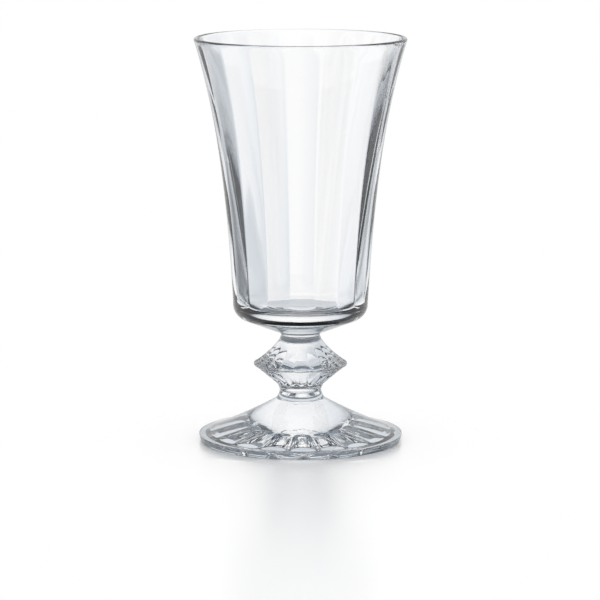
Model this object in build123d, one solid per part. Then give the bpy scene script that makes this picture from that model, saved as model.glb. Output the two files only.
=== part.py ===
# Ribbed crystal water goblet: blown bowl, pressed knop and spread foot, joined by two thin wafers of glass.
from build123d import *
import os
from math import atan2, copysign, cos, hypot, radians, sin, tan

# Heights of the stacked pieces, from the table up
foot_height = 18.0
foot_collar_height = 3.6
knop_height = 23.8
bowl_collar_height = 1.5
bowl_height = 124.4

# Ribs: one count for bowl, knop and foot, so that they line up, with a crest almost straight to the front
rib_count = 18
rib_facing = -88.2

# Seams between the pieces
bowl_seat_radius = 10.6
upper_neck_radius = 8.15
lower_neck_radius = 8.8
foot_seat_radius = 10.3

# Bowl wall: the radius grows by the taper up to the lip, and by the flare mostly near the lip
wall_start_height = 11.6
wall_base_radius = 28.6
wall_taper = 6.9
lip_flare = 9.5
flare_power = 2.83
wall_base_thickness = 7.0
lip_thickness = 1.9

# Bowl base
base_slope = 21.6
base_corner_radius = 6.6
base_thickness = 10.1
inner_corner_radius = 5.0

# Bowl ribs
bowl_rib_depth = 0.3
bowl_rib_fade = 4.0
bowl_sections = 6

# Knop: two hollow-sided ribbed cones on a narrow belt
belt_radius = 19.82
belt_height = 1.0
belt_middle_height = 11.3
belt_edge_radius = 0.3
cone_edge_step = 0.25
upper_shoulder_radius = 9.7
upper_shoulder_drop = 3.1
upper_cone_hollow = 0.54
upper_rib_depth = 1.0
upper_rib_rise = 1.0
lower_shoulder_radius = 10.05
lower_shoulder_rise = 2.9
lower_cone_hollow = 0.11
lower_rib_depth = 0.8
lower_rib_rise = 0.15
neck_hollow = 0.2

# Foot: a smooth hollow-sided cone with a bevelled edge
foot_radius = 43.15
foot_edge_height = 3.1
foot_edge_round = 0.3
foot_bevel_width = 1.05
foot_bevel_bulge = 0.26
foot_side_power = 1.24

# Underside of the foot: a standing ring round a shallow conical hollow, with one flute under each rib
foot_ring_width = 2.6
foot_hollow_depth = 1.0
flute_inner_radius = 17.5
flute_inner_ramp = 5.0
flute_outer_margin = 2.0
flute_outer_ramp = 3.0
flute_depth = 1.6
flute_spread = 19.0

# Collar flank: how far it curves in from a straight side
collar_hollow = 0.25

foot_collar_z = foot_height
knop_z = foot_collar_z + foot_collar_height
bowl_collar_z = knop_z + knop_height
bowl_z = bowl_collar_z + bowl_collar_height
rim_z = bowl_z + bowl_height
foot_standing_radius = foot_radius - foot_bevel_width
foot_ring_inner_radius = foot_standing_radius - foot_ring_width
flute_outer_radius = foot_ring_inner_radius - flute_outer_margin


def ring_point(radius, angle, z):
    return (radius * cos(radians(angle)), radius * sin(radians(angle)), z)


def ribbed_section(z, crest_radius, rib_depth):
    # One arc for each rib, bulging from valley to valley; with no depth the arcs make a plain circle
    valley_radius = crest_radius - rib_depth
    half_pitch = 180 / rib_count
    arcs = []
    for rib in range(rib_count):
        crest = rib_facing + rib * 2 * half_pitch
        arcs.append(
            ThreePointArc(
                ring_point(valley_radius, crest - half_pitch, z),
                ring_point(crest_radius, crest, z),
                ring_point(valley_radius, crest + half_pitch, z),
            )
        )
    return Face(Wire(arcs))


def turned(*edges):
    # A solid of revolution from an outline in the XZ plane
    return revolve(make_face(Plane.XZ * Curve(children=list(edges))), Axis.Z)


def hollow_flank(start, end, hollow):
    # A flank between two profile points that curves in towards the axis at its middle
    middle = ((start[0] + end[0]) / 2 - hollow, (start[1] + end[1]) / 2)
    return ThreePointArc(start, middle, end)


def mixed(first, second, share):
    return first + (second - first) * share


# Bowl
wall_z = bowl_z + wall_start_height
lip_z = rim_z - lip_thickness / 2
wall_height = rim_z - wall_z


def wall_radius(z):
    rise = (z - wall_z) / wall_height
    return wall_base_radius + wall_taper * rise + lip_flare * max(rise, 0) ** flare_power


def inner_radius(z):
    rise = (z - wall_z) / wall_height
    return wall_radius(z) - mixed(wall_base_thickness, lip_thickness, rise)


def make_bowl_base():
    # Shallow cone under the bowl, rounded into the foot of the wall
    lean = wall_taper / wall_height
    slope = tan(radians(base_slope))
    corner_r = wall_base_radius - lean * (wall_start_height + slope * bowl_seat_radius)
    corner_r = corner_r / (1 - lean * slope)
    corner_z = bowl_z + slope * (corner_r - bowl_seat_radius)
    outline = make_face(
        Polyline(
            (0, bowl_z),
            (bowl_seat_radius, bowl_z),
            (corner_r, corner_z),
            (wall_base_radius, wall_z),
            (0, wall_z),
            close=True,
        )
    )
    corner = outline.vertices().sort_by_distance((corner_r, corner_z, 0))[0]
    return revolve(Plane.XZ * fillet(corner, base_corner_radius), Axis.Z)


def make_bowl_wall():
    # The ribs run out at the foot of the wall and under the fire-polished lip
    low, high = wall_z + bowl_rib_fade, lip_z - bowl_rib_fade
    sections = [ribbed_section(wall_z, wall_radius(wall_z), 0)]
    for step in range(bowl_sections):
        z = mixed(low, high, step / (bowl_sections - 1))
        sections.append(ribbed_section(z, wall_radius(z), bowl_rib_depth))
    sections.append(ribbed_section(lip_z, wall_radius(lip_z), 0))
    return loft(sections)


def make_drinking_space():
    floor_z = bowl_z + base_thickness
    levels = [mixed(floor_z, lip_z, step / bowl_sections) for step in range(bowl_sections + 1)]
    wall = [(inner_radius(z), z) for z in levels]
    above = rim_z + lip_thickness
    space = turned(
        Line((0, floor_z), wall[0]),
        Spline(*wall),
        Polyline(wall[-1], (inner_radius(lip_z), above), (0, above), (0, floor_z)),
    )
    rim_of_floor = space.edges().filter_by(GeomType.CIRCLE).sort_by(Axis.Z)[0]
    return fillet(rim_of_floor, inner_corner_radius)


def make_lip():
    inside, outside = inner_radius(lip_z), wall_radius(lip_z)
    top = ((inside + outside) / 2, rim_z)
    return turned(
        ThreePointArc((inside, lip_z), top, (outside, lip_z)),
        Line((outside, lip_z), (inside, lip_z)),
    )


bowl = make_bowl_base() + make_bowl_wall() - make_drinking_space() + make_lip()

# Bowl collar
bowl_collar = turned(
    Polyline((upper_neck_radius, bowl_collar_z), (0, bowl_collar_z), (0, bowl_z), (bowl_seat_radius, bowl_z)),
    hollow_flank((upper_neck_radius, bowl_collar_z), (bowl_seat_radius, bowl_z), collar_hollow),
)

# Knop
belt_low_z = knop_z + belt_middle_height - belt_height / 2
belt_high_z = belt_low_z + belt_height
cone_radius = belt_radius - cone_edge_step


def make_neck(shoulder, neck):
    return turned(
        Polyline(shoulder, (0, shoulder[1]), (0, neck[1]), neck),
        hollow_flank(neck, shoulder, neck_hollow),
    )


def make_ribbed_cone(shoulder, belt_z, hollow, rib_depth, rib_rise):
    # The ribs start from nothing at the shoulder, reach full depth after the rise and grow on with the cone
    shoulder_radius, shoulder_z = shoulder
    rise, run = belt_z - shoulder_z, cone_radius - shoulder_radius
    lean = hollow / hypot(rise, run)
    sections = [ribbed_section(shoulder_z, shoulder_radius, 0)]
    for share in (lower_rib_rise, 0.4, 0.7, 1):
        sink = 4 * share * (1 - share) * lean
        radius = mixed(shoulder_radius, cone_radius, share) - sink * abs(rise)
        z = mixed(shoulder_z, belt_z, share) + sink * copysign(run, rise)
        depth = rib_depth * min(share / rib_rise, 1) * radius / cone_radius
        sections.append(ribbed_section(z, radius, depth))
    return loft(sections)


def make_belt():
    outline = Pos(belt_radius / 2, (belt_low_z + belt_high_z) / 2) * Rectangle(belt_radius, belt_height)
    outer = outline.vertices().group_by(Axis.X)[-1]
    return revolve(Plane.XZ * fillet(outer, belt_edge_radius), Axis.Z)


upper_shoulder = (upper_shoulder_radius, bowl_collar_z - upper_shoulder_drop)
lower_shoulder = (lower_shoulder_radius, knop_z + lower_shoulder_rise)
knop = (
    make_belt()
    + make_ribbed_cone(upper_shoulder, belt_high_z, upper_cone_hollow, upper_rib_depth, upper_rib_rise)
    + make_ribbed_cone(lower_shoulder, belt_low_z, lower_cone_hollow, lower_rib_depth, lower_rib_rise)
    + make_neck(upper_shoulder, (upper_neck_radius, bowl_collar_z))
    + make_neck(lower_shoulder, (lower_neck_radius, knop_z))
)

# Foot collar
foot_collar = turned(
    Polyline((foot_seat_radius, foot_collar_z), (0, foot_collar_z), (0, knop_z), (lower_neck_radius, knop_z)),
    hollow_flank((lower_neck_radius, knop_z), (foot_seat_radius, foot_collar_z), collar_hollow),
)


# Foot
foot_side_steps = 8


def foot_side_z(radius):
    share = (radius - foot_seat_radius) / (foot_radius - foot_seat_radius)
    return foot_edge_height + (foot_height - foot_edge_height) * (1 - share) ** foot_side_power


def make_foot_body():
    edge = (foot_radius, foot_edge_height)
    bevel_middle = ((foot_standing_radius + foot_radius) / 2 + foot_bevel_bulge, foot_edge_height / 2)
    shares = [step / foot_side_steps for step in range(foot_side_steps + 1)]
    radii = [mixed(foot_radius, foot_seat_radius, share) for share in shares]
    body = turned(
        Line((0, 0), (foot_standing_radius, 0)),
        ThreePointArc((foot_standing_radius, 0), bevel_middle, edge),
        Spline(*[(radius, foot_side_z(radius)) for radius in radii]),
        Polyline((foot_seat_radius, foot_height), (0, foot_height), (0, 0)),
    )
    widest = body.edges().filter_by(GeomType.CIRCLE).sort_by(SortBy.RADIUS)[-1]
    return fillet(widest, foot_edge_round)


def hollow_z(radius):
    return foot_hollow_depth * (1 - radius / foot_ring_inner_radius)


def make_foot_hollow():
    return turned(Polyline((0, 0), (foot_ring_inner_radius, 0), (0, foot_hollow_depth), (0, 0)))


def make_flute_band():
    # Room for the flutes, with a ramp at each end so that they run out in an arch
    inner_full = flute_inner_radius + flute_inner_ramp
    outer_full = flute_outer_radius - flute_outer_ramp
    return turned(
        Polyline(
            (flute_inner_radius, -foot_hollow_depth),
            (flute_inner_radius, hollow_z(flute_inner_radius)),
            (inner_full, hollow_z(inner_full) + flute_depth * inner_full / flute_outer_radius),
            (outer_full, hollow_z(outer_full) + flute_depth),
            (flute_outer_radius, hollow_z(flute_outer_radius)),
            (flute_outer_radius, -foot_hollow_depth),
            (flute_inner_radius, -foot_hollow_depth),
        )
    )


def make_flute_cutters():
    # Each flute is the top of a cone whose point is at the middle of the hollow; its depth grows outwards
    growth = atan2(flute_depth, flute_outer_radius)
    tilt = atan2(cos(growth) - cos(radians(flute_spread / 2)), sin(growth))
    dip = tilt + atan2(foot_hollow_depth, foot_ring_inner_radius)
    length = foot_radius * cos(tilt)
    cone = Cone(length * tan(tilt + growth), 0, length, align=(Align.CENTER, Align.CENTER, Align.MAX))
    cutters = []
    for rib in range(rib_count):
        turn = radians(rib_facing + rib * 360 / rib_count)
        upwards = (-cos(dip) * cos(turn), -cos(dip) * sin(turn), sin(dip))
        cutters.append(Plane(origin=(0, 0, foot_hollow_depth), z_dir=upwards) * cone)
    return cutters


flute_band = make_flute_band()
foot = make_foot_body() - make_foot_hollow()
for cutter in make_flute_cutters():
    foot -= cutter & flute_band

os.makedirs("parts", exist_ok=True)
nodes = {
    "bowl": bowl,
    "bowl_collar": bowl_collar,
    "knop": knop,
    "foot_collar": foot_collar,
    "foot": foot,
}
for name, shape in nodes.items():
    export_step(shape, f"parts/{name}.step")
    print(name, "solids", len(shape.solids()), "volume", round(shape.volume))
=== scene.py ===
import bpy
from math import acos, atan2, cos, hypot, pi, radians, sin, tan
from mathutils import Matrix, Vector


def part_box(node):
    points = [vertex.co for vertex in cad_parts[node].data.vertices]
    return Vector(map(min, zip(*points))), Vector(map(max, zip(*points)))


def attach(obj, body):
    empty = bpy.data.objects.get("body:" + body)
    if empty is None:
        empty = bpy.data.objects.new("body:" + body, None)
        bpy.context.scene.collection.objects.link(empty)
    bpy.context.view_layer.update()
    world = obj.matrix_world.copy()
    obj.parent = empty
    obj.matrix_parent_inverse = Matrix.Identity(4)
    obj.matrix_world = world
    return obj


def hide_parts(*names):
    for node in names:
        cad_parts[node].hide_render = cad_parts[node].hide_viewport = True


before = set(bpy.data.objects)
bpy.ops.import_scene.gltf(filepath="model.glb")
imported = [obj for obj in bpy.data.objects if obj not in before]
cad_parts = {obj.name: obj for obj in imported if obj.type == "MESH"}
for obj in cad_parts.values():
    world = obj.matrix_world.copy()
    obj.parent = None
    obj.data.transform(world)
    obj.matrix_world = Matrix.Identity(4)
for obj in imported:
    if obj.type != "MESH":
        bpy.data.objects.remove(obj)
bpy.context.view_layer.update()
scene = bpy.context.scene
scene.view_settings.view_transform = "Standard"
print("frame loaded:", ", ".join(sorted(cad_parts)))

mm = 0.001


def linear(hexColour):
    channels = [int(hexColour[i:i + 2], 16) / 255 for i in (1, 3, 5)]
    return [c / 12.92 if c <= 0.04045 else ((c + 0.055) / 1.055) ** 2.4 for c in channels] + [1.0]


# stops are the places and colours along a colour ramp
def addNode(tree, kind, inputs=None, stops=(), **settings):
    node = tree.nodes.new(kind)
    for name, value in settings.items():
        setattr(node, name, value)
    for socket, value in (inputs or {}).items():
        if isinstance(value, bpy.types.NodeSocket):
            tree.links.new(value, node.inputs[socket])
        else:
            node.inputs[socket].default_value = value
    if stops:
        elements = node.color_ramp.elements
        while len(elements) < len(stops):
            elements.new(0.5)
        for element, (place, colour) in zip(elements, stops):
            element.position = place
            element.color = linear(colour)
    return node


def newMaterial(name):
    material = bpy.data.materials.new(name)
    material.use_nodes = True
    material.node_tree.nodes.clear()
    return material


# camera, at the photograph's viewing angle
camera = {
    "distance": 1300 * mm, "height": 279.2 * mm, "side": -0.2 * mm, "tiltDown": 9.57,
    "lens": 186.8, "sensor": 36, "reach": 50,
}


def placeCamera():
    data = bpy.data.cameras.new("camera")
    data.lens = camera["lens"]
    data.sensor_width = camera["sensor"]
    data.clip_end = camera["reach"]
    cam = bpy.data.objects.new("camera", data)
    cam.location = (camera["side"], -camera["distance"], camera["height"])
    cam.rotation_euler = (radians(90 - camera["tiltDown"]), 0, 0)
    scene.collection.objects.link(cam)
    scene.camera = cam


placeCamera()
print("camera placed")

# lead crystal, fire polished: colourless and very clear face on, with painted shade darkening its colour
# where the eye grazes it; upright draw lines streak the blown bowl, small ripples stay on the pressed knop,
# wafers and foot
crystal = {
    "ior": 1.545, "roughness": 0.0,
    "grazingShade": [(0.0, "#ffffff"), (0.66, "#fbfcfe"), (0.8, "#a4adb6"), (0.9, "#20262d"), (1.0, "#0a0d11")],
    "blown": {"width": 5 * mm, "stretch": 20, "height": 0.02 * mm},
    "pressed": {"width": 3 * mm, "stretch": 1, "height": 0.05 * mm},
    "grazingBlend": 0.5, "rippleDetail": 1.0, "rippleFineness": 0.4,
}


def makeCrystal(name, surfaceKind):
    marks = crystal[surfaceKind]
    material = newMaterial(name)
    tree = material.node_tree
    place = addNode(tree, "ShaderNodeTexCoord")
    upright = addNode(tree, "ShaderNodeMapping", {
        "Vector": place.outputs["Object"], "Scale": (1, 1, 1 / marks["stretch"])})
    ripple = addNode(tree, "ShaderNodeTexNoise", {
        "Vector": upright.outputs[0], "Scale": 1 / marks["width"],
        "Detail": crystal["rippleDetail"], "Roughness": crystal["rippleFineness"]})
    bump = addNode(tree, "ShaderNodeBump", {
        "Height": ripple.outputs[0], "Strength": 1.0, "Distance": marks["height"]})
    facing = addNode(tree, "ShaderNodeLayerWeight", {
        "Blend": crystal["grazingBlend"], "Normal": bump.outputs[0]})
    # painted shade: the glass's colour goes grey, then near black, where the eye grazes the surface
    grazingShadeColour = addNode(tree, "ShaderNodeValToRGB", {0: facing.outputs["Facing"]}, crystal["grazingShade"])
    surface = addNode(tree, "ShaderNodeBsdfPrincipled", {
        "Base Color": grazingShadeColour.outputs[0], "Roughness": crystal["roughness"], "IOR": crystal["ior"],
        "Transmission Weight": 1.0, "Normal": bump.outputs[0]})
    addNode(tree, "ShaderNodeOutputMaterial", {"Surface": surface.outputs[0]})
    return material


# where two pieces were joined hot there is no surface to see
def makeSeam():
    material = newMaterial("hotJoinedSeam")
    clear = addNode(material.node_tree, "ShaderNodeBsdfTransparent")
    addNode(material.node_tree, "ShaderNodeOutputMaterial", {"Surface": clear.outputs[0]})
    return material


blownGlass = makeCrystal("leadCrystalBlown", "blown")
pressedGlass = makeCrystal("leadCrystalPressed", "pressed")
seamGlass = makeSeam()
print("materials made")

# a turned piece with ribs: each profile row carries a crest radius and height, how far in the rib's valleys
# lie, how far they lie above the crest, and whether the row is on a seam
turning = {"ribs": 18, "stepsPerRib": 16, "crestAngle": -88.2, "mergeWithin": 0.002 * mm, "seamFrom": 0.99}


def makeTurningTree():
    tree = bpy.data.node_groups.new("ribbedTurning", "GeometryNodeTree")
    sockets = [("Profile", "Geometry"), ("Ribs", "Int"), ("Steps per rib", "Int"), ("Crest angle", "Float"),
               ("Glass", "Material"), ("Seam", "Material")]
    for name, kind in sockets:
        tree.interface.new_socket(name, in_out="INPUT", socket_type="NodeSocket" + kind)
    tree.interface.new_socket("Piece", in_out="OUTPUT", socket_type="NodeSocketGeometry")
    given = addNode(tree, "NodeGroupInput").outputs
    size = addNode(tree, "GeometryNodeAttributeDomainSize", {0: given["Profile"]}, component="MESH")
    index = addNode(tree, "GeometryNodeInputIndex")
    values = {"rows": size.outputs[0], "index": index.outputs[0], "ribs": given["Ribs"],
              "steps": given["Steps per rib"], "crestAngle": given["Crest angle"]}
    # the grid's points run up the profile, one column after another round the axis
    for name, operation, first, second in [
            ("columns", "MULTIPLY", "ribs", "steps"), ("lines", "ADD", "columns", 1),
            ("row", "MODULO", "index", "rows"), ("column", "DIVIDE_FLOOR", "index", "rows")]:
        values[name] = addNode(tree, "FunctionNodeIntegerMath", {
            0: values.get(first, first), 1: values.get(second, second)}, operation=operation).outputs[0]
    ofRow = {"Geometry": given["Profile"], "Index": values["row"]}
    position = addNode(tree, "GeometryNodeInputPosition")
    point = addNode(tree, "GeometryNodeSampleIndex", ofRow, data_type="FLOAT_VECTOR", domain="POINT")
    tree.links.new(position.outputs[0], point.inputs["Value"])
    parts = addNode(tree, "ShaderNodeSeparateXYZ", {0: point.outputs[0]})
    values["crest"], values["height"] = parts.outputs["X"], parts.outputs["Z"]
    for name in ("ribDepth", "ribLift", "seam"):
        stored = addNode(tree, "GeometryNodeInputNamedAttribute", {"Name": name}, data_type="FLOAT")
        sampled = addNode(tree, "GeometryNodeSampleIndex", ofRow, data_type="FLOAT", domain="POINT")
        tree.links.new(stored.outputs[0], sampled.inputs["Value"])
        values[name] = sampled.outputs[0]
    # each rib is one arc from valley to valley, about a centre on the crest's own ray
    for name, operation, first, second in [
            ("valley", "SUBTRACT", "crest", "ribDepth"), ("halfPitch", "DIVIDE", pi, "ribs"),
            ("pitch", "MULTIPLY", "halfPitch", 2.0), ("halfCosine", "COSINE", "halfPitch", 0.0),
            ("crestSquare", "MULTIPLY", "crest", "crest"), ("valleySquare", "MULTIPLY", "valley", "valley"),
            ("fall", "SUBTRACT", "crestSquare", "valleySquare"),
            ("chord", "MULTIPLY", "valley", "halfCosine"),
            ("gap", "SUBTRACT", "crest", "chord"), ("twoGaps", "MULTIPLY", "gap", 2.0),
            ("centre", "DIVIDE", "fall", "twoGaps"), ("arcRadius", "SUBTRACT", "crest", "centre"),
            ("along", "DIVIDE", "column", "steps"), ("share", "FRACT", "along", 0.0),
            ("offCrest", "SUBTRACT", "share", 0.5), ("turn", "MULTIPLY", "offCrest", "pitch"),
            ("turnSine", "SINE", "turn", 0.0), ("turnCosine", "COSINE", "turn", 0.0),
            ("aside", "MULTIPLY", "centre", "turnSine"), ("asideSquare", "MULTIPLY", "aside", "aside"),
            ("arcSquare", "MULTIPLY", "arcRadius", "arcRadius"),
            ("reachSquare", "SUBTRACT", "arcSquare", "asideSquare"),
            ("reach", "SQRT", "reachSquare", 0.0), ("ahead", "MULTIPLY", "centre", "turnCosine"),
            ("radius", "ADD", "ahead", "reach"), ("crestTurn", "RADIANS", "crestAngle", 0.0),
            ("start", "SUBTRACT", "crestTurn", "halfPitch"), ("swept", "MULTIPLY", "along", "pitch"),
            ("angle", "ADD", "start", "swept"), ("angleCosine", "COSINE", "angle", 0.0),
            ("angleSine", "SINE", "angle", 0.0), ("x", "MULTIPLY", "radius", "angleCosine"),
            ("y", "MULTIPLY", "radius", "angleSine"), ("across", "MULTIPLY", "offCrest", 2.0),
            ("bow", "MULTIPLY", "across", "across"), ("lift", "MULTIPLY", "bow", "ribLift"),
            ("z", "ADD", "height", "lift")]:
        values[name] = addNode(tree, "ShaderNodeMath", {
            0: values.get(first, first), 1: values.get(second, second)}, operation=operation).outputs[0]
    place = addNode(tree, "ShaderNodeCombineXYZ", {"X": values["x"], "Y": values["y"], "Z": values["z"]})
    grid = addNode(tree, "GeometryNodeMeshGrid", {
        "Vertices X": values["lines"], "Vertices Y": values["rows"]})
    keep = addNode(tree, "GeometryNodeStoreNamedAttribute", {
        "Geometry": grid.outputs["Mesh"], "Name": "seamRow", "Value": values["seam"]},
        data_type="FLOAT", domain="POINT")
    shaped = addNode(tree, "GeometryNodeSetPosition", {
        "Geometry": keep.outputs[0], "Position": place.outputs[0]})
    closed = addNode(tree, "GeometryNodeMergeByDistance", {
        "Geometry": shaped.outputs[0], "Distance": turning["mergeWithin"]})
    seamRow = addNode(tree, "GeometryNodeInputNamedAttribute", {"Name": "seamRow"}, data_type="FLOAT")
    onSeam = addNode(tree, "ShaderNodeMath", {
        0: seamRow.outputs[0], 1: turning["seamFrom"]}, operation="GREATER_THAN").outputs[0]
    smooth = addNode(tree, "GeometryNodeSetShadeSmooth", {
        "Geometry": closed.outputs[0], "Shade Smooth": True})
    flat = addNode(tree, "GeometryNodeSetShadeSmooth", {
        "Geometry": smooth.outputs[0], "Selection": onSeam, "Shade Smooth": False})
    real = addNode(tree, "GeometryNodeRealizeInstances", {"Geometry": flat.outputs[0]})
    glassed = addNode(tree, "GeometryNodeSetMaterial", {
        "Geometry": real.outputs[0], "Material": given["Glass"]})
    joined = addNode(tree, "GeometryNodeSetMaterial", {
        "Geometry": glassed.outputs[0], "Selection": onSeam, "Material": given["Seam"]})
    addNode(tree, "NodeGroupOutput", {"Piece": joined.outputs[0]})
    return tree


turningTree = makeTurningTree()
print("turning tree built")

# rows along a profile: (radius, height, rib depth, rib lift, seam), in millimetres
profile = {"seamSteps": 4, "sameWithin": 0.001}


def straight(start, end, count, seam=0.0):
    rows = []
    for i in range(count + 1):
        radius = start[0] + (end[0] - start[0]) * i / count
        height = start[1] + (end[1] - start[1]) * i / count
        rows.append((radius, height, 0.0, 0.0, seam))
    return rows


# the flat face where a piece is joined to the next
def seamFace(start, end):
    return straight(start, end, profile["seamSteps"], seam=1.0)


# an arc through three points
def bent(start, middle, end, count):
    (ax, ay), (bx, by), (cx, cy) = start, middle, end
    a, b, c = ax * ax + ay * ay, bx * bx + by * by, cx * cx + cy * cy
    spread = 2 * (ax * (by - cy) + bx * (cy - ay) + cx * (ay - by))
    centreX = (a * (by - cy) + b * (cy - ay) + c * (ay - by)) / spread
    centreY = (a * (cx - bx) + b * (ax - cx) + c * (bx - ax)) / spread
    radius = hypot(ax - centreX, ay - centreY)
    first, second, third = [atan2(y - centreY, x - centreX) for x, y in (start, middle, end)]
    half = (second - first + pi) % (2 * pi) - pi
    rest = (third - second + pi) % (2 * pi) - pi
    rows = []
    for i in range(count + 1):
        angle = first + (half + rest) * i / count
        rows.append((centreX + radius * cos(angle), centreY + radius * sin(angle), 0.0, 0.0, 0.0))
    return rows


def towards(start, end):
    length = hypot(end[0] - start[0], end[1] - start[1])
    return (end[0] - start[0]) / length, (end[1] - start[1]) / length


def moved(point, way, distance):
    return point[0] + way[0] * distance, point[1] + way[1] * distance


# a shallow arc that stands out by the bulge to the right of the way from start to end
def bulged(start, end, bulge, count):
    along = towards(start, end)
    halfway = ((start[0] + end[0]) / 2, (start[1] + end[1]) / 2)
    return bent(start, moved(halfway, (along[1], -along[0]), bulge), end, count)


# an arc of the given radius that rounds a corner of the profile
def rounded(before, corner, after, radius, count):
    back, ahead = towards(corner, before), towards(corner, after)
    inward = towards((0, 0), (back[0] + ahead[0], back[1] + ahead[1]))
    half = acos(back[0] * ahead[0] + back[1] * ahead[1]) / 2
    cut, depth = radius / tan(half), radius / sin(half) - radius
    return bent(moved(corner, back, cut), moved(corner, inward, depth), moved(corner, ahead, cut), count)


def easeIn(x):
    x = min(max(x, 0.0), 1.0)
    return x * x * (3 - 2 * x)


def makePiece(name, rows, glass=pressedGlass):
    # rows that repeat the one before are dropped
    kept = [rows[0]]
    for row in rows[1:]:
        if abs(row[0] - kept[-1][0]) + abs(row[1] - kept[-1][1]) > profile["sameWithin"]:
            kept.append(row)
    mesh = bpy.data.meshes.new(name + "Profile")
    mesh.from_pydata([(max(row[0], 0) * mm, 0, row[1] * mm) for row in kept],
                     [(i, i + 1) for i in range(len(kept) - 1)], [])
    for label, column, unit in (("ribDepth", 2, mm), ("ribLift", 3, mm), ("seam", 4, 1.0)):
        values = mesh.attributes.new(label, "FLOAT", "POINT")
        values.data.foreach_set("value", [row[column] * unit for row in kept])
    piece = bpy.data.objects.new(name, mesh)
    scene.collection.objects.link(piece)
    modifier = piece.modifiers.new("ribbedTurning", "NODES")
    modifier.node_group = turningTree
    given = {"Ribs": turning["ribs"], "Steps per rib": turning["stepsPerRib"],
             "Crest angle": turning["crestAngle"], "Glass": glass, "Seam": seamGlass}
    for item in turningTree.interface.items_tree:
        if item.in_out == "INPUT" and item.name in given:
            modifier[item.identifier] = given[item.name]
    bpy.context.view_layer.update()
    graph = bpy.context.evaluated_depsgraph_get()
    solid = bpy.data.meshes.new_from_object(piece.evaluated_get(graph), depsgraph=graph)
    solid.name = name
    piece.modifiers.clear()
    piece.data = solid
    # the profile's own empty material slot goes
    for slot in reversed(range(len(solid.materials))):
        if solid.materials[slot] is None:
            solid.materials.pop(index=slot)
    bpy.data.meshes.remove(mesh)
    print(name, "made with", len(solid.polygons), "faces")
    return piece


def nodeHeights(node):
    low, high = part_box(node)
    return round(low[2] / mm, 2), round(high[2] / mm, 2)


# bowl: a straight taper with a flare that grows towards the lip, on a shallow conical base
bowlSizes = {
    "seatRadius": 10.6, "wallStart": 11.6, "wallBase": 28.6, "taper": 6.9, "flare": 9.5, "flarePower": 2.83,
    "baseThickness": 7.0, "lipThickness": 1.9, "slope": 21.6, "corner": 6.6,
    "floor": 10.1, "innerCorner": 5.0, "cornerReach": 8.0, "ribDepth": 0.3, "ribFade": 4.0,
    "slopeSteps": 10, "cornerSteps": 14, "wallFootSteps": 3, "wallSteps": 90, "lipSteps": 16, "floorSteps": 8,
}


def makeBowl():
    size = bowlSizes
    low, top = nodeHeights("bowl")
    wallLow, lipHeight = low + size["wallStart"], top - size["lipThickness"] / 2
    height = top - wallLow

    def outside(z):
        rise = (z - wallLow) / height
        return size["wallBase"] + size["taper"] * rise + size["flare"] * max(rise, 0) ** size["flarePower"]

    def inside(z):
        rise = (z - wallLow) / height
        return outside(z) - size["baseThickness"] - (size["lipThickness"] - size["baseThickness"]) * rise

    # the ribs run out at the foot of the wall and under the lip
    def ribAt(z):
        fade = size["ribFade"]
        return size["ribDepth"] * easeIn((z - wallLow) / fade) * easeIn((lipHeight - z) / fade)

    lean, slope = size["taper"] / height, tan(radians(size["slope"]))
    cornerRadius = size["wallBase"] - lean * (size["wallStart"] + slope * size["seatRadius"])
    cornerRadius /= 1 - lean * slope
    corner = (cornerRadius, low + slope * (cornerRadius - size["seatRadius"]))
    seat, wallFoot = (size["seatRadius"], low), (size["wallBase"], wallLow)
    turn = rounded(seat, corner, wallFoot, size["corner"], size["cornerSteps"])
    rows = seamFace((0, low), seat) + straight(seat, turn[0], size["slopeSteps"])[1:]
    rows += turn + straight(turn[-1], wallFoot, size["wallFootSteps"])
    for i in range(1, size["wallSteps"] + 1):
        z = wallLow + (lipHeight - wallLow) * i / size["wallSteps"]
        rows.append((outside(z), z, ribAt(z), 0.0, 0.0))
    lipOutside, lipInside = outside(lipHeight), inside(lipHeight)
    lipMiddle = ((lipInside + lipOutside) / 2, top)
    rows += bent((lipOutside, lipHeight), lipMiddle, (lipInside, lipHeight), size["lipSteps"])
    floorHeight = low + size["floor"]
    aboveFloor = floorHeight + size["cornerReach"]  # a little way up the inner wall
    floorEdge, wallAbove = (inside(floorHeight), floorHeight), (inside(aboveFloor), aboveFloor)
    turnIn = rounded(wallAbove, floorEdge, (0, floorHeight), size["innerCorner"], size["cornerSteps"])
    for i in range(1, size["wallSteps"]):
        z = lipHeight + (turnIn[0][1] - lipHeight) * i / size["wallSteps"]
        rows.append((inside(z), z, 0.0, 0.0, 0.0))
    rows += turnIn + straight(turnIn[-1], (0, floorHeight), size["floorSteps"])
    return makePiece("bowlGlass", rows, blownGlass)


# the two wafers that join bowl, knop and foot
collarSizes = {
    "bowlSeat": 10.6, "upperNeck": 8.15, "lowerNeck": 8.8, "footSeat": 10.3, "hollow": 0.25, "flankSteps": 12,
}


def makeCollar(name, node, lowRadius, highRadius):
    low, high = nodeHeights(node)
    middle = ((lowRadius + highRadius) / 2 - collarSizes["hollow"], (low + high) / 2)
    flank = bent((lowRadius, low), middle, (highRadius, high), collarSizes["flankSteps"])
    rows = seamFace((0, low), (lowRadius, low)) + flank[1:-1] + seamFace((highRadius, high), (0, high))
    return makePiece(name, rows)


# knop: two hollow-sided cones, ribbed, on a narrow belt
knopSizes = {
    "beltRadius": 19.82, "beltHeight": 1.0, "beltMiddle": 11.3, "beltEdge": 0.3, "edgeStep": 0.25,
    "upperShoulder": 9.7, "upperDrop": 3.1, "upperHollow": 0.54, "upperRib": 1.0, "upperRise": 1.0,
    "lowerShoulder": 10.05, "lowerLift": 2.9, "lowerHollow": 0.11, "lowerRib": 0.8, "lowerRise": 0.15,
    "neckHollow": 0.2, "coneSteps": 24, "neckSteps": 10, "edgeSteps": 6,
}


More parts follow.
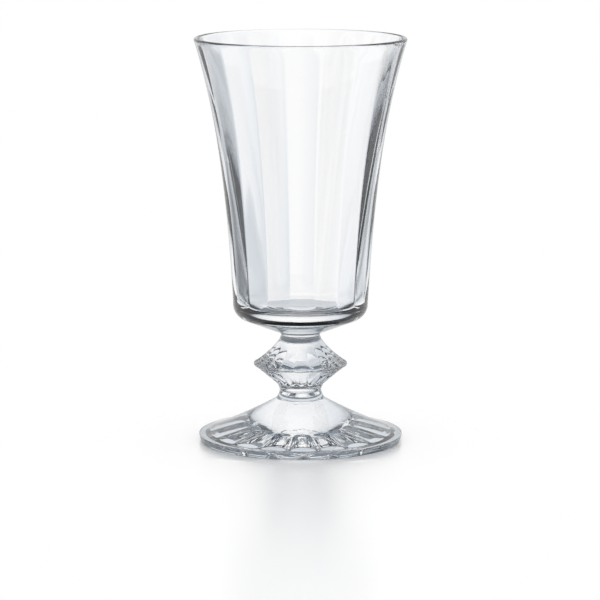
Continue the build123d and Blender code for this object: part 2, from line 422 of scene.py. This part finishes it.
def makeKnop():
    size = knopSizes
    low, high = nodeHeights("knop")
    beltLow = low + size["beltMiddle"] - size["beltHeight"] / 2
    beltHigh = low + size["beltMiddle"] + size["beltHeight"] / 2
    coneRadius = size["beltRadius"] - size["edgeStep"]

    # the ribs start from nothing at the shoulder and reach their full depth after the rise
    def cone(shoulder, beltHeight, hollow, depth, rise):
        rows = []
        flank = bulged(shoulder, (coneRadius, beltHeight), hollow, size["coneSteps"])
        for i, row in enumerate(flank):
            rib = depth * row[0] / coneRadius * min(i / size["coneSteps"] / rise, 1.0)
            rows.append((row[0], row[1], rib, 0.0, 0.0))
        return rows

    def neck(end, shoulder):
        middle = ((end[0] + shoulder[0]) / 2 - size["neckHollow"], (end[1] + shoulder[1]) / 2)
        return bent(end, middle, shoulder, size["neckSteps"])

    lowNeck, highNeck = (collarSizes["lowerNeck"], low), (collarSizes["upperNeck"], high)
    lowShoulder = (size["lowerShoulder"], low + size["lowerLift"])
    highShoulder = (size["upperShoulder"], high - size["upperDrop"])
    lowCorner, highCorner = (size["beltRadius"], beltLow), (size["beltRadius"], beltHigh)
    rows = seamFace((0, low), lowNeck) + neck(lowNeck, lowShoulder)[1:-1]
    rows += cone(lowShoulder, beltLow, -size["lowerHollow"], size["lowerRib"], size["lowerRise"])
    rows += rounded((0, beltLow), lowCorner, highCorner, size["beltEdge"], size["edgeSteps"])
    rows += rounded(lowCorner, highCorner, (0, beltHigh), size["beltEdge"], size["edgeSteps"])
    rows += cone(highShoulder, beltHigh, size["upperHollow"], size["upperRib"], size["upperRise"])[::-1]
    rows += neck(highNeck, highShoulder)[::-1][1:-1] + seamFace(highNeck, (0, high))
    return makePiece("knopGlass", rows)


# foot: hollow-sided cone with a smooth top and a bevelled edge; underneath, flutes in a shallow hollow
footSizes = {
    "edgeRadius": 43.15, "edgeHeight": 3.1, "edgeRound": 0.3, "standRadius": 42.1, "bevelBulge": 0.26,
    "sidePower": 1.24, "topAim": 18.0, "ringInner": 39.5, "hollowDepth": 1.0, "fluteDepth": 1.6,
    "fluteInner": 17.5, "innerRamp": 5.0, "fluteOuter": 37.5, "outerRamp": 3.0,
    "undersideSteps": 120, "ringSteps": 4, "bevelSteps": 10, "edgeSteps": 6, "sideSteps": 60,
}


def makeFoot():
    size = footSizes
    low, high = nodeHeights("foot")
    seat = collarSizes["footSeat"]
    rows = []
    for i in range(size["undersideSteps"] + 1):
        radius = size["ringInner"] * i / size["undersideSteps"]
        innerShare = easeIn((radius - size["fluteInner"]) / size["innerRamp"])
        outerShare = easeIn((size["fluteOuter"] - radius) / size["outerRamp"])
        depth = size["fluteDepth"] * radius / size["fluteOuter"] * (innerShare * outerShare)
        hollow = size["hollowDepth"] * (1 - radius / size["ringInner"])
        rows.append((radius, low + hollow + depth, 0.0, -depth, 0.0))
    rows += straight((size["ringInner"], low), (size["standRadius"], low), size["ringSteps"])
    corner = (size["edgeRadius"], low + size["edgeHeight"])
    aim = (0, corner[1] + size["topAim"])  # the point on the axis that the top's outer slope heads for
    top = rounded((size["edgeRadius"], low), corner, aim, size["edgeRound"], size["edgeSteps"])
    bevelTop = (size["edgeRadius"], top[0][1])
    rows += bulged((size["standRadius"], low), bevelTop, size["bevelBulge"], size["bevelSteps"]) + top
    edge = top[-1]
    for i in range(1, size["sideSteps"]):
        share = 1 - i / size["sideSteps"]
        radius = seat + (edge[0] - seat) * share
        rows.append((radius, edge[1] + (high - edge[1]) * (1 - share) ** size["sidePower"], 0.0, 0.0, 0.0))
    rows += seamFace((seat, high), (0, high))
    return makePiece("footGlass", rows)


upperNeck, lowerNeck = collarSizes["upperNeck"], collarSizes["lowerNeck"]
pieces = {
    "bowl": makeBowl(),
    "bowl_collar": makeCollar("bowlCollarGlass", "bowl_collar", upperNeck, collarSizes["bowlSeat"]),
    "knop": makeKnop(),
    "foot_collar": makeCollar("footCollarGlass", "foot_collar", collarSizes["footSeat"], lowerNeck),
    "foot": makeFoot(),
}

# a ray that left the glass counts as turned back inside it, or as through both walls of the bowl, above these
# numbers of reflections and of crossed surfaces
rayCounts = {"turnedBack": 0.5, "bothWalls": 2.5}

# white studio: the light is plain white all round, and so is what gloss shows of it; what the glass shows is
# a white sweep with a darker floor beside it, pale walls with dark flags and a grey ceiling, given by the
# angle in degrees to the left or right of the camera's axis
studio = {
    "floor": [
        (-90, "#f4f6f8"), (-74, "#eef1f4"), (-64, "#59626b"), (-56, "#0f1318"), (-43.5, "#0f1318"),
        (-41, "#b4bbc2"), (-38.5, "#4a525b"), (-36, "#b4bbc2"), (-33, "#dfe3e7"), (-30, "#6a737c"),
        (-27, "#c4cad0"), (-20, "#dfe3e7"), (-10, "#f8f9fa"), (0, "#ffffff"), (14, "#ffffff"),
        (22, "#eef1f3"), (27, "#d8dde2"), (30, "#7d8690"), (33, "#eceff2"), (36, "#c4cad0"),
        (38.5, "#8d959d"), (41, "#c8ced4"), (43.5, "#0f1318"), (56, "#0f1318"), (64, "#59626b"),
        (74, "#eef1f4"), (90, "#f4f6f8")],
    "walls": [
        (-90, "#f4f6f8"), (-84, "#f8f9fa"), (-76, "#59626b"), (-66, "#4a525b"), (-58, "#f4f6f8"),
        (-50, "#2f363e"), (-42, "#3a424b"), (-36, "#a8b0b8"), (-26, "#e2e6ea"), (-12, "#f8f9fa"),
        (0, "#ffffff"), (16, "#ffffff"), (28, "#eef1f3"), (34, "#c8ced4"), (40, "#4a525b"),
        (44, "#2f363e"), (53, "#2f363e"), (60, "#6a737c"), (68, "#3a424b"), (76, "#59626b"),
        (82, "#8d959d"), (87, "#e2e6ea"), (90, "#f4f6f8")],
    "through": [
        (-90, "#f4f6f8"), (-76, "#eef1f4"), (-70, "#2f363e"), (-60, "#2f363e"), (-54, "#d3d9de"),
        (-18, "#d3d9de"), (-11, "#dbe0e5"), (-5, "#f4f6f8"), (0, "#ffffff"), (12, "#ffffff"),
        (16, "#fafbfc"), (24, "#eff1f4"), (54, "#eaedf0"), (60, "#2f363e"), (70, "#2f363e"),
        (76, "#eef1f4"), (90, "#f4f6f8")],
    "ceiling": "#4d5660", "floorTop": (-5.0, 3.0), "wallTop": (40.0, 58.0), "light": "#ffffff",
}

# lacquered white table top: satin white with a soft mirror of what stands on it; glass sees it as a painted
# glow, pale straight through, greyer as painted shade by way of reflections inside the glass, two tones more
# through both bowl walls
table = {
    "halfWidth": 100 * mm, "halfDepth": 200 * mm, "middle": -110 * mm, "corners": 64,
    "colour": "#ffffff", "roughness": 0.3, "shine": 0.9, "coatIor": 1.85, "coatRoughness": 0.28, "glow": 0.05,
    "straight": "#d8dde3", "shadedBounce": "#78838e", "straightDeep": "#eceff2", "shadedBounceDeep": "#565f68",
}


def makeLacquer():
    material = newMaterial("whiteLacqueredTable")
    tree = material.node_tree
    rays = addNode(tree, "ShaderNodeLightPath").outputs
    surface = addNode(tree, "ShaderNodeBsdfPrincipled", {
        "Base Color": linear(table["colour"]), "Roughness": table["roughness"],
        "Specular IOR Level": table["shine"], "Coat Weight": 1.0, "Coat IOR": table["coatIor"],
        "Coat Roughness": table["coatRoughness"]})
    # a little light of its own makes the open table plain white to the camera
    level = addNode(tree, "ShaderNodeMath", {
        0: rays["Is Camera Ray"], 1: table["glow"]}, operation="MULTIPLY")
    glow = addNode(tree, "ShaderNodeEmission", {
        "Color": linear(studio["light"]), "Strength": level.outputs[0]})
    bare = addNode(tree, "ShaderNodeAddShader", {0: surface.outputs[0], 1: glow.outputs[0]})
    # painted shade: rays turned back inside the glass see the table's glow in a darker grey
    shadedBounce = addNode(tree, "ShaderNodeMath", {
        0: rays["Glossy Depth"], 1: rayCounts["turnedBack"]}, operation="GREATER_THAN")
    deep = addNode(tree, "ShaderNodeMath", {
        0: rays["Transmission Depth"], 1: rayCounts["bothWalls"]}, operation="GREATER_THAN")
    near = addNode(tree, "ShaderNodeMixRGB", {
        0: shadedBounce.outputs[0], 1: linear(table["straight"]), 2: linear(table["shadedBounce"])})
    far = addNode(tree, "ShaderNodeMixRGB", {
        0: shadedBounce.outputs[0], 1: linear(table["straightDeep"]), 2: linear(table["shadedBounceDeep"])})
    shown = addNode(tree, "ShaderNodeMixRGB", {0: deep.outputs[0], 1: near.outputs[0], 2: far.outputs[0]})
    # painted light: where glass looks at it, the table glows though it is no lamp
    glowInGlass = addNode(tree, "ShaderNodeEmission", {"Color": shown.outputs[0], "Strength": 1.0})
    whole = addNode(tree, "ShaderNodeMixShader", {
        0: rays["Is Transmission Ray"], 1: bare.outputs[0], 2: glowInGlass.outputs[0]})
    addNode(tree, "ShaderNodeOutputMaterial", {"Surface": whole.outputs[0]})
    return material


def makeTable():
    mesh = bpy.data.meshes.new("table")
    ring = []
    for i in range(table["corners"]):
        angle = 2 * pi * i / table["corners"]
        ring.append((table["halfWidth"] * cos(angle), table["middle"] + table["halfDepth"] * sin(angle), 0))
    mesh.from_pydata(ring, [], [tuple(range(table["corners"]))])
    mesh.materials.append(makeLacquer())
    top = bpy.data.objects.new("table", mesh)
    scene.collection.objects.link(top)


def makeWorld():
    world = bpy.data.worlds.new("studio")
    scene.world = world
    world.use_nodes = True
    tree = world.node_tree
    tree.nodes.clear()
    sky = addNode(tree, "ShaderNodeTexCoord")
    parts = addNode(tree, "ShaderNodeSeparateXYZ", {0: sky.outputs["Generated"]}).outputs
    values = {"x": parts["X"], "y": parts["Y"], "z": parts["Z"]}
    # angle away from straight behind or straight in front, left to right, 0 to 1
    for name, operation, first, second in [
            ("depth", "ABSOLUTE", "y", 0.0), ("around", "ARCTAN2", "x", "depth"),
            ("part", "DIVIDE", "around", pi), ("share", "ADD", "part", 0.5), ("pitch", "ARCSINE", "z", 0.0)]:
        values[name] = addNode(tree, "ShaderNodeMath", {
            0: values.get(first, first), 1: values.get(second, second)}, operation=operation).outputs[0]
    bands = {}
    for name in ("floor", "walls", "through"):
        stops = [((angle + 90) / 180, colour) for angle, colour in studio[name]]
        bands[name] = addNode(tree, "ShaderNodeValToRGB", {0: values["share"]}, stops).outputs[0]
    for name in ("floorTop", "wallTop"):
        start, end = studio[name]
        bands[name] = addNode(tree, "ShaderNodeMapRange", {
            "Value": values["pitch"], "From Min": radians(start), "From Max": radians(end)},
            interpolation_type="SMOOTHSTEP").outputs[0]
    # a view straight through the glass shows the paler sweep, one turned back inside it the darker floor
    rays = addNode(tree, "ShaderNodeLightPath").outputs
    bothWalls = addNode(tree, "ShaderNodeMath", {
        0: rays["Transmission Depth"], 1: rayCounts["bothWalls"]}, operation="GREATER_THAN")
    unturned = addNode(tree, "ShaderNodeMath", {
        0: rays["Glossy Depth"], 1: rayCounts["turnedBack"]}, operation="LESS_THAN")
    clear = addNode(tree, "ShaderNodeMath", {
        0: bothWalls.outputs[0], 1: unturned.outputs[0]}, operation="MAXIMUM")
    low = addNode(tree, "ShaderNodeMixRGB", {0: clear.outputs[0], 1: bands["floor"], 2: bands["through"]})
    middle = addNode(tree, "ShaderNodeMixRGB", {0: bands["floorTop"], 1: low.outputs[0], 2: bands["walls"]})
    whole = addNode(tree, "ShaderNodeMixRGB", {
        0: bands["wallTop"], 1: middle.outputs[0], 2: linear(studio["ceiling"])})
    plain = addNode(tree, "ShaderNodeBackground", {"Color": linear(studio["light"]), "Strength": 1.0})
    seen = addNode(tree, "ShaderNodeBackground", {"Color": whole.outputs[0], "Strength": 1.0})
    both = addNode(tree, "ShaderNodeMixShader", {
        0: rays["Is Transmission Ray"], 1: plain.outputs[0], 2: seen.outputs[0]})
    addNode(tree, "ShaderNodeOutputWorld", {"Surface": both.outputs[0]})


makeTable()
makeWorld()
print("studio set up")

for node, piece in pieces.items():
    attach(piece, "root")
    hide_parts(node)
